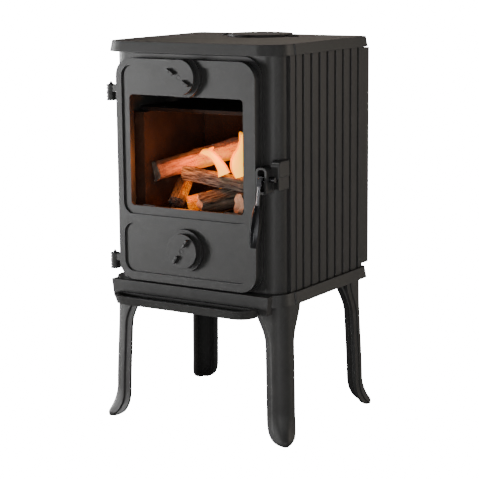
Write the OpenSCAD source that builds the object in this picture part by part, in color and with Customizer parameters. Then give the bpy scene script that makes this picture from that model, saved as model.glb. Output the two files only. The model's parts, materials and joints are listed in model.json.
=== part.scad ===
// Wood burning stove on four legs, in millimetres.
// Origin: on the floor, under the middle of the body. The door faces -Y, its hinges are at -X.

/* [Overall] */
// Height of the body, from the underside of the base plate to the face of the top plate
body_h = 478; // [470:1:640]
// Width of the top and base plates
plate_w = 398; // [350:1:480]
// Depth of the top and base plates
plate_d = 346; // [310:1:420]
// Height from the floor to the underside of the base plate
leg_h = 262; // [200:1:320]

/* [Plates] */
// Height of the rim around the top plate
top_rim_h = 20; // [16:1:30]
// Height of the base plate's rim
base_h = 22; // [18:1:30]
// Thickness of the top and base plates between their rims
plate_t = 9; // [7:1:12]
// Thickness of the plates' rims
rim_t = 5; // [4:0.5:6]
// Outward slope of a rim from top to bottom
rim_flare = 3; // [0:0.5:4]
// Radius of the plates' front corners
plate_r = 46; // [35:1:60]
// How far the plates stand out past the front casting
front_overhang = 23; // [18:1:30]
// How far the plates stand out past the ribs at each side
side_overhang = 8; // [7:0.5:14]

/* [Body castings] */
// Wall of the iron castings
wall = 6; // [5:0.5:8]
// Length of the front casting's side wings
wing_l = 30; // [20:1:45]
// Radius of the front casting's corners
casting_r = 30; // [22:1:40]
// How far the ribs stand out from a side panel
rib_h = 7; // [4:0.5:9]
// Number of grooves between the ribs
groove_n = 8; // [5:1:11]
// Width of a groove
groove_w = 7.5; // [4:0.5:10]
// Width of the first rib behind the bead
first_rib = 20; // [14:0.5:26]
// Width of the last rib, at the back edge
last_rib = 15.5; // [12:0.5:22]
// Gap between the side panel's front bead and its first rib
bead_gap = 3.5; // [2:0.5:6]
// Width of the side panel's front bead
bead_w = 17; // [12:1:22]
// Depth of the heat shield behind the back panel
shield_d = 32; // [24:1:45]
// Thickness of sheet metal
sheet_t = 2; // [1.5:0.5:3]

/* [Door] */
// Width of the door
door_w = 308; // [270:1:330]
// Height of the door
door_h = 423; // [360:1:423]
// Thickness of the door casting at its rim
door_t = 17; // [15:1:20]
// How far the door sits to the hinge side of the middle
door_x = -7.5; // [-12:0.5:0]
// Radius of the door's corners
door_r = 34; // [20:1:44]
// Gap between the door and the base plate
door_gap = 2; // [1.5:0.5:4]
// Width of the raised border around the door's panels
border_w = 13; // [8:1:18]
// Depth of the door's panels below the border
panel_in = 4; // [2:0.5:5]
// Height of the crossbar's lower edge over the door's bottom
crossbar_z = 110; // [90:1:120]
// Height of the crossbar
crossbar_h = 18; // [12:1:24]
// Clear width of the window
window_w = 252; // [210:1:260]
// Distance of the window's upper edge below the door's top
window_drop = 68; // [66:1:90]
// Height of the window's lower edge over the door's bottom
window_z = 144; // [136:1:160]
// Thickness of the window glass
glass_t = 4; // [4:0.5:5]
// How far the glass reaches past the window on each side
glass_lap = 5; // [4:0.5:6]
// Width of the rope seals
rope_w = 9; // [8:1:10]

/* [Air dials] */
// Radius of an air dial
dial_r = 32.7; // [26:0.1:34]
// Thickness of an air dial
dial_t = 9.5; // [7:0.5:12]
// Radius of the raised seat behind an air dial
dial_seat_r = 40; // [36:0.5:40]
// Height of the lower dial's centre over the door's bottom
low_dial_z = 68; // [56:1:75]
// Distance of the upper dial's centre below the door's top
high_dial_drop = 31; // [29:1:35]
// Play between a dial and its seat
dial_play = 0.5; // [0.3:0.1:1]
// Radius of a dial's centre bolt
stud_r = 4; // [3:0.5:5]

/* [Hinges] */
// Distance of the hinge line from the door's edge
hinge_out = 20; // [17:0.5:24]
// Distance of the hinge line behind the door's face
hinge_in = 12; // [9:0.5:14]
// Radius of the hinge barrels
barrel_r = 9; // [7:0.5:10]
// Height of one hinge barrel
barrel_h = 15; // [12:1:20]
// Radius of the hinge pins
pin_r = 4; // [3:0.5:5]
// Clearance between a pin and what turns on it
pin_play = 0.06; // [0.02:0.01:0.1]
// Distance of the upper hinge below the door's top
high_hinge_drop = 67; // [63:1:100]
// Height of the lower hinge over the door's bottom
low_hinge_z = 30; // [24:1:60]

/* [Latch] */
// Height of the handle's pivot over the door's bottom
latch_z = 214; // [180:1:240]
// Width of the latch housing
latch_w = 23; // [20:1:26]
// Height of the latch housing
latch_h = 48; // [42:1:56]
// Length of the handle's grip
grip_l = 77; // [60:1:95]
// Largest radius of the grip
grip_r = 11; // [9:0.5:13]
// Lean of the hanging handle away from the door, in degrees
handle_lean = 12; // [6:1:16]

/* [Ash lip] */
// Width of the ash lip
lip_w = 312; // [270:1:340]
// How far the ash lip stands out in front of the plates
lip_out = 50; // [35:1:70]
// Height of the ash lip
lip_h = 17; // [14:1:24]

/* [Legs] */
// Wall of the hollow legs
leg_t = 6; // [5:0.5:8]
// Width of a leg's faces at mid height
leg_w = 35; // [30:1:42]
// How far a foot splays outward each way
leg_splay = 20; // [8:1:26]

/* [Firebox] */
// Thickness of the firebricks
brick_t = 25; // [20:1:30]
// Height of the firebricks
brick_h = 192; // [150:1:200]
// Gap behind the rear firebrick
brick_gap = 8; // [7:0.5:14]
// Height of the grate shelf's face over the base plate
shelf_z = 124; // [104:1:124]
// Height of the ash pan
pan_h = 58; // [40:1:70]
// Clearance between loose pieces and the walls around them
fit_gap = 1; // [0.5:0.1:2]

/* [Flue] */
// Inside radius of the flue openings, for a 120 mm flue pipe
flue_r = 60.5; // [50:0.5:66]
// How far the flue opening in the top lies from the back edge
flue_back = 86; // [84:1:110]
// Length of the flue collar
collar_l = 66; // [50:1:80]

/* [Hidden] */
$fn = 64;
e = 0.01;

// The whole stove, from the floor to the face of the top plate
total_h = leg_h + body_h;

// Heights
base_z = leg_h + base_h;
rim_z = total_h - top_rim_h;
roof_z = total_h - plate_t;
door_z = base_z + door_gap;
shelf_top = base_z + shelf_z;
brick_top = shelf_top + brick_h;

// Plan of the body
plate_y = -plate_d / 2;
plate_back = plate_d / 2;
rib_x = plate_w / 2 - side_overhang;
panel_x = rib_x - rib_h;
inner_x = panel_x - wall;
casting_x = rib_x - rib_h;
casting_y = plate_y + front_overhang;
wing_y = casting_y + wing_l;
panel_back = plate_back - 16;
back_y = panel_back - 8;
shield_y = panel_back + shield_d;
rib_y0 = wing_y + bead_w + bead_gap;
rib_pitch = (panel_back - last_rib - groove_w - rib_y0 - first_rib) / (groove_n - 1);

// Door
door_face = plate_y;
door_back = door_face + door_t;
land_y = door_back + 1;
panel_y = door_face + panel_in;
skin_t = 6;
skin_y = panel_y + skin_t;
door_left = door_x - door_w / 2;
door_right = door_x + door_w / 2;
door_top = door_z + door_h;
window_h = door_h - window_z - window_drop;
high_dial_z = door_h - high_dial_drop;
high_hinge_z = door_h - high_hinge_drop;
opening_in = 19;
hinge_x = door_left - hinge_out;
hinge_y = door_face + hinge_in;

// Distance of the ash lip's bolts below the base plate
lip_bolt = 7;

// Latch
latch_x = door_right + latch_w / 2 + 5.5;
pivot_y = door_face + 4;
pivot_z = door_z + latch_z;
housing_y = door_face - 8;
keeper_w = 14;
keeper_x = latch_x + latch_w / 2 + keeper_w / 2 + 1;
keeper_y = casting_y - 5;
keeper_pin_r = 3;
shaft_r = 5;

// Flue
flue_y = plate_back - flue_back;
collar_z = roof_z - 24 - flue_r - 9;

// Fire
fire_z = shelf_top + 6;

iron = "#4c4c4b";
steel = "#77777a";
brick = "#8a7a66";

// A box with its own corner radii at the front and at the back, in plan.
module round_plan(w, y0, y1, r_front, r_back) {
  translate([-w / 2, y0 + r_front]) square([w, y1 - y0 - r_front - r_back]);
  translate([-w / 2 + r_front, y0]) square([w - 2 * r_front, r_front + e]);
  translate([-w / 2 + r_back, y1 - r_back - e]) square([w - 2 * r_back, r_back + e]);
  for (s = [-1, 1]) {
    translate([s * (w / 2 - r_front), y0 + r_front]) circle(r_front);
    translate([s * (w / 2 - r_back), y1 - r_back]) circle(r_back);
  }
}

// A rounded rectangle that stands up in the door's plane, from y0 to y1.
module upright(w, h, r, y0, y1, x = 0, z = 0) {
  translate([x, y1, z]) rotate([90, 0, 0]) linear_extrude(y1 - y0) {
    translate([-w / 2 + r, 0]) square([w - 2 * r, h]);
    translate([-w / 2, r]) square([w, h - 2 * r]);
    for (s = [-1, 1], v = [r, h - r]) translate([s * (w / 2 - r), v]) circle(r);
  }
}

// A round bar from y0 to y1.
module bar_y(r, y0, y1, x = 0, z = 0) {
  translate([x, y1, z]) rotate([90, 0, 0]) cylinder(r = r, h = y1 - y0);
}

// A round bar from x0 to x1.
module bar_x(r, x0, x1, y = 0, z = 0) {
  translate([x0, y, z]) rotate([0, 90, 0]) cylinder(r = r, h = x1 - x0);
}

// A block between two corners.
module block(a, b) {
  translate(a) cube(b - a);
}

// The sloping rim block of a plate: a narrower front with round corners and wider sides.
module rim_block(z0, z1) {
  for (part = [0, 1]) hull() for (level = [0, 1]) {
    grow = (level == 0 ? 0 : -rim_flare);
    translate([0, 0, level == 0 ? z0 : z1 - 1]) linear_extrude(1)
      if (part == 0)
        round_plan(plate_w - 6 + 2 * grow, plate_y - grow, 0, plate_r, 20, $fn = 48);
      else
        round_plan(plate_w + 2 * grow, plate_y + plate_r + 12, plate_back + grow, 3, 14, $fn = 32);
  }
}

// What is hollowed out of a plate, between the rims.
module rim_hollow(z0, z1) {
  translate([0, 0, z0]) linear_extrude(z1 - z0)
    round_plan(plate_w - 6 - 2 * rim_t, plate_y + rim_t, plate_back - rim_t, plate_r - rim_t, 9);
}

// Places children at the four tie rods.
module at_rods() {
  for (x = [-1, 1], y = [wing_y - 8, back_y - 11]) translate([x * (inner_x - 11), y, 0]) children();
}

module top_plate() {
  color(iron) difference() {
    rim_block(rim_z, total_h);
    rim_hollow(rim_z - 1, roof_z);
    translate([0, flue_y, rim_z]) cylinder(r = flue_r, h = 40);
    for (s = [-1, 1]) translate([s * (flue_r + 17), flue_y, rim_z]) cylinder(r = 2.6, h = 40);
  }
}

module flue_cover() {
  t = 5;
  color(iron) difference() {
    union() {
      translate([0, flue_y, total_h]) cylinder(r = flue_r + 4, h = t);
      translate([0, flue_y, total_h - plate_t]) cylinder(r = flue_r - fit_gap, h = plate_t + e);
      for (s = [-1, 1]) {
        block([s > 0 ? 0 : -flue_r - 17, flue_y - 9, total_h], [s > 0 ? flue_r + 17 : 0, flue_y + 9, total_h + 3]);
        translate([s * (flue_r + 17), flue_y, total_h]) cylinder(r = 9, h = 3);
      }
    }
    for (s = [-1, 1]) translate([s * (flue_r + 17), flue_y, total_h - 1]) cylinder(r = 2.6, h = 9);
    translate([0, flue_y, total_h - plate_t - 1]) cylinder(r = flue_r - 12, h = plate_t);
  }
}

module flue_cover_screws() {
  color(steel) for (s = [-1, 1]) translate([s * (flue_r + 17), flue_y, 0]) difference() {
    union() {
      translate([0, 0, total_h + 3]) cylinder(r = 4.5, h = 2);
      translate([0, 0, roof_z - 3]) cylinder(r = 2.5, h = plate_t + 6.5);
    }
    translate([-5, -0.5, total_h + 4.2]) cube([10, 1, 2]);
  }
}

module front_casting() {
  color(iron) difference() {
    union() {
      difference() {
        translate([0, 0, base_z]) linear_extrude(roof_z - base_z)
          round_plan(2 * casting_x, casting_y, wing_y + 40, casting_r, 1);
        translate([0, 0, base_z - 1]) linear_extrude(roof_z - base_z + 2)
          round_plan(2 * casting_x - 2 * wall, casting_y + wall + 1, wing_y + 60, casting_r - wall, 1);
        block([-plate_w, wing_y, base_z - 1], [plate_w, wing_y + 80, roof_z + 1]);
      }
      // raised land that the door closes against
      upright(door_w + 8, min(door_h + 10, rim_z - base_z - 1), door_r + 4, land_y, casting_y + 2, door_x, base_z + 0.5);
    }
    upright(door_w - 2 * opening_in, door_h - 2 * opening_in, 16, door_back - 5, casting_y + 20,
      door_x, door_z + opening_in);
  }
}

// One fluted side, drawn for +X.
module side_panel() {
  difference() {
    union() {
      block([inner_x, wing_y, base_z], [panel_x, panel_back, roof_z]);
      block([inner_x, wing_y, base_z], [rib_x - 1, wing_y + bead_w, roof_z]);
      block([inner_x, rib_y0, base_z], [rib_x, panel_back, roof_z]);
      // ledge that carries the grate shelf
      block([inner_x - 12, wing_y + 20, shelf_top - 22], [inner_x + 1, back_y - 30, shelf_top - 10]);
    }
    for (i = [0:groove_n - 1]) let (y = rib_y0 + first_rib + i * rib_pitch)
      block([panel_x, y, base_z - 1], [rib_x + 1, y + groove_w, roof_z + 1]);
  }
}

module side_panel_left() {
  color(iron) mirror([1, 0, 0]) side_panel();
}

module side_panel_right() {
  color(iron) side_panel();
}

module back_panel() {
  color(iron) difference() {
    block([-inner_x, back_y, base_z], [inner_x, panel_back, roof_z]);
    bar_y(flue_r - 3, back_y - 5, panel_back + 5, 0, collar_z);
    for (a = [45:90:315])
      bar_y(2.6, back_y - 5, panel_back + 5, (flue_r + 10) * cos(a), collar_z + (flue_r + 10) * sin(a));
    for (x = [-1, 1], z = [base_z + 50, base_z + 230])
      bar_y(2.6, back_y - 5, panel_back + 5, x * 130, z);
  }
}

module heat_shield() {
  x = casting_x + 4;
  z0 = base_z + 5;
  color("#403c38") difference() {
    block([-x, panel_back, z0], [x, shield_y, rim_z - 3]);
    block([-x + sheet_t, panel_back - 1, z0 - 1], [x - sheet_t, shield_y - sheet_t, rim_z]);
    bar_y(flue_r + 12, shield_y - 9, shield_y + 5, 0, collar_z);
    for (s = [-1, 1], z = [base_z + 50, base_z + 230]) bar_y(2.6, shield_y - 9, shield_y + 5, s * 130, z);
    for (i = [0:5]) block([-60, shield_y - 9, base_z + 90 + i * 16], [60, shield_y + 5, base_z + 95 + i * 16]);
  }
}

module heat_shield_screws() {
  color(steel) for (s = [-1, 1], z = [base_z + 50, base_z + 230]) {
    bar_y(2.5, back_y - 3, shield_y + 1, s * 130, z);
    bar_y(5.5, panel_back, shield_y - sheet_t, s * 130, z);
    bar_y(5, shield_y, shield_y + 3, s * 130, z);
  }
}

module flue_collar() {
  color(iron) difference() {
    union() {
      bar_y(flue_r + 18, panel_back, panel_back + 6, 0, collar_z);
      bar_y(flue_r + 5, panel_back, panel_back + collar_l, 0, collar_z);
    }
    bar_y(flue_r, panel_back - 1, panel_back + collar_l + 1, 0, collar_z);
    for (a = [45:90:315])
      bar_y(2.6, panel_back - 5, panel_back + 9, (flue_r + 10) * cos(a), collar_z + (flue_r + 10) * sin(a));
  }
}

module flue_collar_bolts() {
  color(steel) for (a = [45:90:315]) {
    x = (flue_r + 10) * cos(a);
    z = collar_z + (flue_r + 10) * sin(a);
    bar_y(2.5, back_y - 6, panel_back + 7, x, z);
    bar_y(5, panel_back + 6, panel_back + 9.5, x, z);
    bar_y(5, back_y - 4, back_y, x, z);
  }
}

module base_plate() {
  color(iron) difference() {
    union() {
      rim_block(leg_h, base_z);
      // apron in front, over the ash lip
      hull() {
        block([-173, plate_y - 6, leg_h - lip_h + 5], [173, plate_y + 8, leg_h]);
        block([-176, plate_y - 8, base_z - 2], [176, plate_y + 8, base_z]);
      }
    }
    difference() {
      rim_hollow(leg_h - 30, base_z - plate_t);
      block([-190, plate_y - 1, leg_h - 40], [190, plate_y + 8, base_z]);
    }
    at_rods() translate([0, 0, leg_h]) cylinder(r = 4.5, h = 60);
    at_legs() translate([leg_bolt, leg_bolt, leg_h]) cylinder(r = 4.5, h = 60);
    for (s = [-1, 1]) bar_y(3.3, plate_y - 20, plate_y + 20, s * 120, leg_h - lip_bolt);
  }
}

module tie_rods() {
  color(steel) at_rods() translate([0, 0, leg_h + 4]) cylinder(r = 4, h = roof_z - leg_h - 4);
}

module tie_rod_nuts() {
  color(steel) at_rods() translate([0, 0, base_z - plate_t - 6.5]) difference() {
    cylinder(r = 7.5, h = 6.5, $fn = 6);
    translate([0, 0, -1]) cylinder(r = 4, h = 9);
  }
}

// A strip with two round front corners, cut straight at the back.
module lip_plan(w, y0, y1, r) {
  intersection() {
    round_plan(w, y0, y0 + 3 * r + 60, r, 1);
    translate([-w, y0 - 1]) square([2 * w, y1 - y0 + 1]);
  }
}

module ash_lip() {
  y0 = plate_y - lip_out;
  y1 = plate_y - 8.2;
  z0 = leg_h - lip_h;
  color(iron) difference() {
    hull() {
      translate([0, 0, z0]) linear_extrude(1) lip_plan(lip_w - 6, y0 + 6, y1, 30, $fn = 32);
      translate([0, 0, leg_h - 1]) linear_extrude(1) lip_plan(lip_w, y0, y1, 33, $fn = 32);
    }
    translate([0, 0, z0 + 6]) linear_extrude(lip_h) lip_plan(lip_w - 16, y0 + 8, y1 - 8, 25);
    for (s = [-1, 1]) bar_y(3, y1 - 6, y1 + 20, s * 120, leg_h - lip_bolt);
  }
}

module ash_lip_bolts() {
  color(steel) for (s = [-1, 1]) {
    bar_y(3, plate_y - 14.2, plate_y + 9, s * 120, leg_h - lip_bolt);
    bar_y(4.8, plate_y + 8, plate_y + 12, s * 120, leg_h - lip_bolt);
  }
}

// Places one leg drawn with its corner at the origin and its faces along +X and +Y.
leg_corner = [plate_w / 2 - 11, plate_y + 25, plate_back - 20];
leg_bolt = 35;
module at_leg(side, end) {
  translate([side * leg_corner[0], end < 0 ? leg_corner[1] : leg_corner[2], 0])
    mirror([side > 0 ? 1 : 0, 0, 0]) mirror([0, end > 0 ? 1 : 0, 0]) children();
}

module at_legs() {
  for (side = [-1, 1], end = [-1, 1]) at_leg(side, end) children();
}

// Outward throw of the leg's corner and the width of its faces at a height share u.
function smooth(a, b, u) = let (t = max(0, min(1, (u - a) / (b - a)))) t * t * (3 - 2 * t);
function leg_out(u) = leg_splay * (0.28 * (1 - smooth(0.1, 0.9, u)) + 0.72 * (1 - smooth(0.03, 0.2, u)));
function leg_face(u) =
  leg_w + 24 * pow(smooth(0.78, 1.02, u), 1.6) - 4 * smooth(0.35, 0.2, u) - 12 * (1 - smooth(0.0, 0.14, u));

// Outline of a leg at one height: a corner of two faces, rounded outside.
function leg_ring(z) =
  let (u = z / leg_h, o = -leg_out(u), w = leg_face(u), t = min(leg_t, w / 2), r = 8,
    lift = leg_w * 0.25 * (1 - smooth(0, 0.16, u)))
  concat(
    [[o + w, o + lift / 3], [o + r, o]],
    [for (i = [1:3]) [o + r - r * sin(i * 22.5), o + r - r * cos(i * 22.5)]],
    [[o, o + r], [o + lift / 3, o + w], [o + t, o + w - 0.5], [o + t, o + t + 3],
      [o + t + 3, o + t], [o + w - 0.5, o + t]]);

leg_steps = 18;
leg_levels = [for (i = [0:leg_steps]) leg_h * pow(i / leg_steps, 1.25)];
module leg_body() {
  rings = [for (z = leg_levels) [for (p = leg_ring(z)) [p[0], p[1], z]]];
  n = len(rings[0]);
  points = [for (ring = rings, p = ring) p];
  sides = [for (k = [0:leg_steps - 1], i = [0:n - 1], half = [0, 1])
    let (a = k * n + i, b = k * n + (i + 1) % n)
    half == 0 ? [a, b, b + n] : [a, b + n, a + n]];
  cap = [[0, 1, 9], [0, 9, 10], [1, 2, 9], [2, 3, 9], [3, 8, 9], [3, 4, 8], [4, 5, 8], [5, 6, 8], [6, 7, 8]];
  bottom = [for (f = cap) [f[2], f[1], f[0]]];
  top = [for (f = cap) [for (i = f) leg_steps * n + i]];
  difference() {
    union() {
      polyhedron(points, concat(bottom, sides, top));
      // flange that bolts up under the base plate, and the solid foot
      block([2, 2, leg_h - 5], [leg_bolt + 10, leg_bolt + 10, leg_h - 0.8]);
      block([8, 8, leg_h - 3], [leg_bolt + 10, leg_bolt + 10, base_z - plate_t]);
      block([-leg_splay + 3, -leg_splay + 3, 0.8], [-leg_splay + 17, -leg_splay + 17, 9]);
    }
    translate([leg_bolt, leg_bolt, leg_h - 20]) cylinder(r = 4.5, h = 60);
  }
}

// A leg in its place, with room in its flange for the tie rod's nut.
module leg(side, end) {
  color(iron) difference() {
    at_leg(side, end) leg_body();
    at_rods() translate([0, 0, leg_h - 10]) cylinder(r = 10, h = 60);
  }
}

module leg_front_left() {
  leg(-1, -1);
}

module leg_front_right() {
  leg(1, -1);
}

module leg_rear_left() {
  leg(-1, 1);
}

module leg_rear_right() {
  leg(1, 1);
}

module leg_bolts() {
  color(steel) at_legs() translate([leg_bolt, leg_bolt, 0]) {
    translate([0, 0, leg_h - 5.5]) cylinder(r = 4, h = base_z - leg_h + 5.5 + 6);
    translate([0, 0, leg_h - 11]) cylinder(r = 7.5, h = 6, $fn = 6);
    translate([0, 0, base_z]) cylinder(r = 7, h = 5);
  }
}

// One side brick, drawn for +X.
module side_brick() {
  block([inner_x - fit_gap - brick_t, wing_y + 24, shelf_top], [inner_x - fit_gap, back_y - brick_gap - brick_t - fit_gap, brick_top]);
}

module firebrick_left() {
  color(brick) mirror([1, 0, 0]) side_brick();
}

module firebrick_right() {
  color(brick) side_brick();
}

module firebrick_rear() {
  x = inner_x - 24;
  color(brick) block([-x, back_y - brick_gap - brick_t, shelf_top], [x, back_y - brick_gap, brick_top]);
}

module baffle_plate() {
  x = inner_x - 2 * fit_gap;
  color(iron) difference() {
    block([-x, casting_y + 75, brick_top], [x, back_y - fit_gap, brick_top + 8]);
    at_rods() translate([-12, -12, base_z]) cube([30, 30, roof_z - base_z]);
  }
}

grate_w = 220;
grate_d = 176;
grate_y = (casting_y + back_y) / 2 + 4;
module grate_shelf() {
  x = inner_x - fit_gap;
  color(iron) difference() {
    block([-x, casting_y + wall + 8, shelf_top - 10], [x, back_y - fit_gap / 2, shelf_top]);
    translate([-grate_w / 2, grate_y - grate_d / 2, shelf_top - 5]) cube([grate_w, grate_d, 20]);
    translate([-grate_w / 2 + 8, grate_y - grate_d / 2 + 8, shelf_top - 20]) cube([grate_w - 16, grate_d - 16, 40]);
    at_rods() translate([-17, -17, base_z]) cube([34, 34, roof_z - base_z]);
  }
}

module grate() {
  w = grate_w - 2 * fit_gap;
  d = grate_d - 2 * fit_gap;
  slots = 9;
  color(iron) difference() {
    translate([-w / 2, grate_y - d / 2, shelf_top - 5]) cube([w, d, 11]);
    for (i = [0:slots - 1], half = [0, 1])
      translate([-w / 2 + 12 + i * (w - 16) / slots, grate_y - d / 2 + 12 + half * (d - 16) / 2, shelf_top - 10])
        cube([(w - 16) / slots - 8, (d - 16) / 2 - 8, 30]);
  }
}

guard_h = 14;
module log_guard() {
  y = casting_y + wall + 9;
  color(iron) difference() {
    union() {
      block([-138, y, shelf_top], [138, y + 6, shelf_top + guard_h]);
      for (s = [-1, 1]) block([s * 120 - 8, y, shelf_top], [s * 120 + 8, y + 26, shelf_top + 6]);
    }
    for (i = [-4:4]) bar_y(8, y - 5, y + 11, i * 27, shelf_top + guard_h + 2);
  }
}

pan_w = 260;
module ash_pan() {
  y0 = casting_y + 22;
  y1 = back_y - 30;
  color("#5b5b5c") difference() {
    block([-pan_w / 2, y0, base_z], [pan_w / 2, y1, base_z + pan_h]);
    block([-pan_w / 2 + sheet_t, y0 + sheet_t, base_z + sheet_t], [pan_w / 2 - sheet_t, y1 - sheet_t, base_z + pan_h + 1]);
  }
}

module ash_pan_handle() {
  y0 = casting_y + 22;
  z = base_z + pan_h - 18;
  color(steel) {
    bar_x(3, -40, 40, y0 - 9, z);
    for (s = [-1, 1]) bar_y(3, y0 - 9, y0, s * 37, z);
  }
}

// A hinge barrel with raised rings.
module barrel(h) {
  cylinder(r = barrel_r - 1.2, h = h);
  for (k = [0:2]) translate([0, 0, k * (h - 3) / 2]) cylinder(r = barrel_r, h = 3);
}

module hinge_brackets() {
  color(iron) for (z = [high_hinge_z, low_hinge_z]) difference() {
    union() {
      translate([hinge_x, hinge_y, door_z + z - barrel_h]) barrel(barrel_h);
      translate([hinge_x, hinge_y, door_z + z - barrel_h + 1]) rotate([0, 0, 42])
        translate([4, -4, 0]) cube([norm([hinge_x + casting_x - 14, casting_y - hinge_y]) + 4, 8, barrel_h - 2]);
    }
    translate([hinge_x, hinge_y, 0]) cylinder(r = pin_r, h = total_h);
    // the arm ends on the face of the front casting
    translate([0, 0, base_z]) linear_extrude(roof_z - base_z)
      round_plan(2 * casting_x, casting_y, wing_y + 40, casting_r, 1);
    upright(door_w + 8, min(door_h + 10, rim_z - base_z - 1), door_r + 4, land_y, casting_y + 2, door_x, base_z + 0.5);
  }
}

module hinge_pins() {
  color(steel) for (z = [high_hinge_z, low_hinge_z]) translate([hinge_x, hinge_y, door_z + z]) {
    translate([0, 0, -barrel_h]) cylinder(r = pin_r, h = 2 * barrel_h + 0.8);
    translate([0, 0, barrel_h + 0.8]) cylinder(r1 = pin_r + 0.6, r2 = 0.8, h = 6);
  }
}

module latch_keeper() {
  z0 = pivot_z - 20;
  color(iron) difference() {
    translate([keeper_x - keeper_w / 2, keeper_y - 8, z0]) cube([keeper_w, 36, 50]);
    block([keeper_x - 4.5, keeper_y - 10, z0 - 1], [keeper_x + 4.5, keeper_y + 7, z0 + 34]);
    bar_x(keeper_pin_r, keeper_x - 20, keeper_x + 20, keeper_y - 3.5, pivot_z + 5);
    translate([0, 0, base_z]) linear_extrude(roof_z - base_z)
      round_plan(2 * casting_x, casting_y, wing_y + 40, casting_r, 1);
    upright(door_w + 8, min(door_h + 10, rim_z - base_z - 1), door_r + 4, land_y, casting_y + 2, door_x, base_z + 0.5);
  }
}

module keeper_pin() {
  color(steel) bar_x(keeper_pin_r, keeper_x - keeper_w / 2, keeper_x + keeper_w / 2, keeper_y - 3.5, pivot_z + 5);
}

module door_casting() {
  color(iron) difference() {
    union() {
      difference() {
        upright(door_w, door_h, door_r, door_face, door_back, door_x, door_z);
        // panels sunk below the border
        upright(door_w - 2 * border_w, door_h - border_w - crossbar_z - crossbar_h, door_r - border_w,
          door_face - 5, panel_y, door_x, door_z + crossbar_z + crossbar_h);
        upright(door_w - 2 * border_w, crossbar_z - border_w - 3, door_r - border_w,
          door_face - 5, panel_y, door_x, door_z + border_w + 3);
        // hollow back inside the rim
        upright(door_w - 2 * opening_in - 4, door_h - 2 * opening_in - 4, 14, skin_y, door_back + 5,
          door_x, door_z + opening_in + 2);
        // rope groove around the rim
        difference() {
          upright(door_w - 12, door_h - 12, door_r - 6, door_back - 6, door_back + 5, door_x, door_z + 6);
          upright(door_w - 12 - 2 * rope_w, door_h - 12 - 2 * rope_w, door_r - 6 - rope_w,
            door_back - 9, door_back + 9, door_x, door_z + 6 + rope_w);
        }
      }
      // raised seats of the air dials
      intersection() {
        for (z = [low_dial_z, high_dial_z])
          bar_y(dial_seat_r, door_face - 5, skin_y, door_x, door_z + z);
        upright(door_w, door_h, door_r, door_face - 20, door_back, door_x, door_z);
      }
      // hinge lugs
      for (z = [high_hinge_z, low_hinge_z]) translate([0, 0, door_z + z + 0.4]) {
        translate([hinge_x, hinge_y, 0]) barrel(barrel_h);
        translate([hinge_x + 3, hinge_y - 5, 1]) cube([hinge_out + 2, 8, barrel_h - 2]);
      }
    }
    upright(window_w, window_h, 7, door_face - 20, door_back + 9, door_x, door_z + window_z);
    for (z = [low_dial_z, high_dial_z]) {
      bar_y(stud_r, door_face - 20, door_back + 9, door_x, door_z + z);
      for (a = [180:60:360])
        bar_y(4.5, door_face - 20, door_back + 9, door_x + 19 * cos(a), door_z + z + 19 * sin(a));
    }
    for (z = [high_hinge_z, low_hinge_z]) translate([hinge_x, hinge_y, door_z + z])
      cylinder(r = pin_r + pin_play, h = barrel_h + 2);
    at_clips() bar_y(2, skin_y - 4, skin_y + 9);
  }
}

// Places children at the glass clips, above and below the window.
module at_clips() {
  for (s = [-1, 1], z = [window_z - glass_lap - 2.4, window_z + window_h + glass_lap + 2.4])
    translate([door_x + s * 92, 0, door_z + z]) children();
}

module door_glass() {
  y0 = skin_y + 0.6;
  color([0.55, 0.6, 0.6, 0.35]) upright(window_w + 2 * glass_lap - 2, window_h + 2 * glass_lap - 2, 4,
    y0, y0 + glass_t, door_x, door_z + window_z - glass_lap + 1);
}

module glass_gasket() {
  color("#c9c4b8") difference() {
    upright(window_w + 2 * glass_lap - 2, window_h + 2 * glass_lap - 2, 4, skin_y, skin_y + 0.6,
      door_x, door_z + window_z - glass_lap + 1);
    upright(window_w + 1, window_h + 1, 7.5, skin_y - 5, skin_y + 5, door_x, door_z + window_z - 0.5);
  }
}

module glass_clips() {
  y = skin_y + 0.6 + glass_t;
  color(steel) at_clips() difference() {
    block([-14, skin_y, -8], [14, y + 1.5, 8]);
    for (s = [-1, 1]) block([-15, skin_y - 1, s > 0 ? 2.6 : -20], [15, y, s > 0 ? 20 : -2.6]);
    bar_y(2, skin_y - 5, y + 9);
  }
}

module glass_screws() {
  y = skin_y + 0.6 + glass_t + 1.5;
  color(steel) at_clips() {
    bar_y(2, skin_y - 4, y + e);
    bar_y(3.6, y, y + 2);
  }
}

module door_rope() {
  color("#b8b2a4") difference() {
    upright(door_w - 12.6, door_h - 12.6, door_r - 6.3, door_back - 6, land_y - 0.3, door_x, door_z + 6.3);
    upright(door_w - 11.4 - 2 * rope_w, door_h - 11.4 - 2 * rope_w, door_r - 6.3 - rope_w,
      door_back - 9, door_back + 9, door_x, door_z + 5.7 + rope_w);
  }
}

// Channel behind the upper dial that spreads air down over the glass.
module airwash_plate() {
  z0 = window_z + window_h + glass_lap + 12;
  h = door_h - opening_in - 3 - z0;
  color("#3d3d3d") difference() {
    block([door_x - 105, skin_y, door_z + z0], [door_x + 105, skin_y + 24, door_z + z0 + h]);
    block([door_x - 103, skin_y - 1, door_z + z0 - 1], [door_x + 103, skin_y + 22, door_z + z0 + h - 2]);
  }
}

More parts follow.
